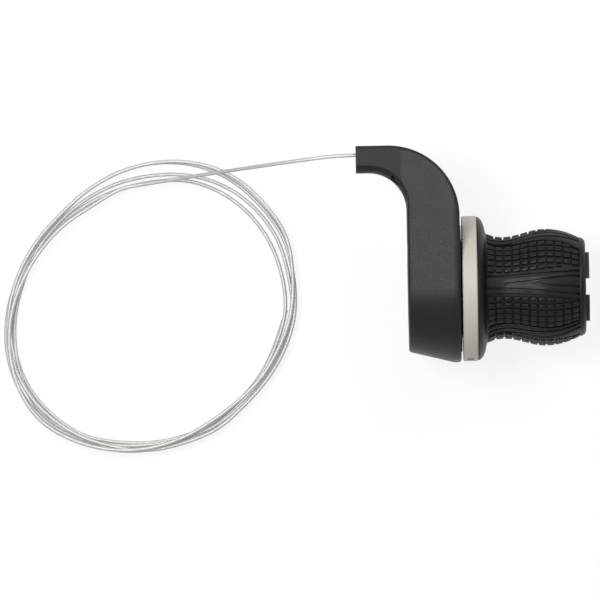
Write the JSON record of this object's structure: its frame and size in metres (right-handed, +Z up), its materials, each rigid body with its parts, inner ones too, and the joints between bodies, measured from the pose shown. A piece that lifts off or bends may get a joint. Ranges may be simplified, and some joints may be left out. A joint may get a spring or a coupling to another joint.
{
  "type": "twist grip shifter",
  "caption": "Bicycle twist grip gear shifter: dark housing with a cable elbow, pale indicator ring, treaded rubber grip and a loose coil of inner cable.",
  "frame": {"origin": "on the axis of the handlebar bore, inside the clamping hub", "axes": "+X along the bar towards the grip's end, +Y towards the cable elbow, +Z up from the surface the part lies on"},
  "size_m": [0.1838, 0.0962, 0.0456],
  "materials": {
    "housing_plastic": "fine matt texture",
    "cover_plastic": "matt",
    "core_plastic": "satin",
    "ring_plastic": "satin",
    "grip_rubber": "matt with a moulded tread",
    "cable_steel": "stranded wire",
    "screw_steel": "zinc plated",
    "spring_steel": "bright",
    "washer_plastic": "natural nylon"
  },
  "bodies": {
    "housing": {"housing_shell": "housing_plastic", "end_plate": "cover_plastic", "cover_screws": "screw_steel", "clamp_screw": "screw_steel", "clamp_nut": "screw_steel", "clamp_shoe": "cover_plastic", "detent_spring": "spring_steel", "inner_washer": "washer_plastic", "outer_washer": "washer_plastic", "cable_in_elbow": "cable_steel", "cable_run": "cable_steel", "cable_coil": "cable_steel"},
    "twist_grip": {"grip_core": "core_plastic", "indicator_ring": "ring_plastic", "rubber_sleeve": "grip_rubber", "cable_head": "cable_steel", "cable_wrap": "cable_steel"}
  },
  "joints": [
    {"name": "grip_twist", "type": "hinge", "parent": "housing", "child": "twist_grip", "pos_m": [0, 0, 0], "axis": [1, 0, 0], "range_deg": [0, 72], "deforming": ["detent_spring", "cable_wrap"]}
  ]
}
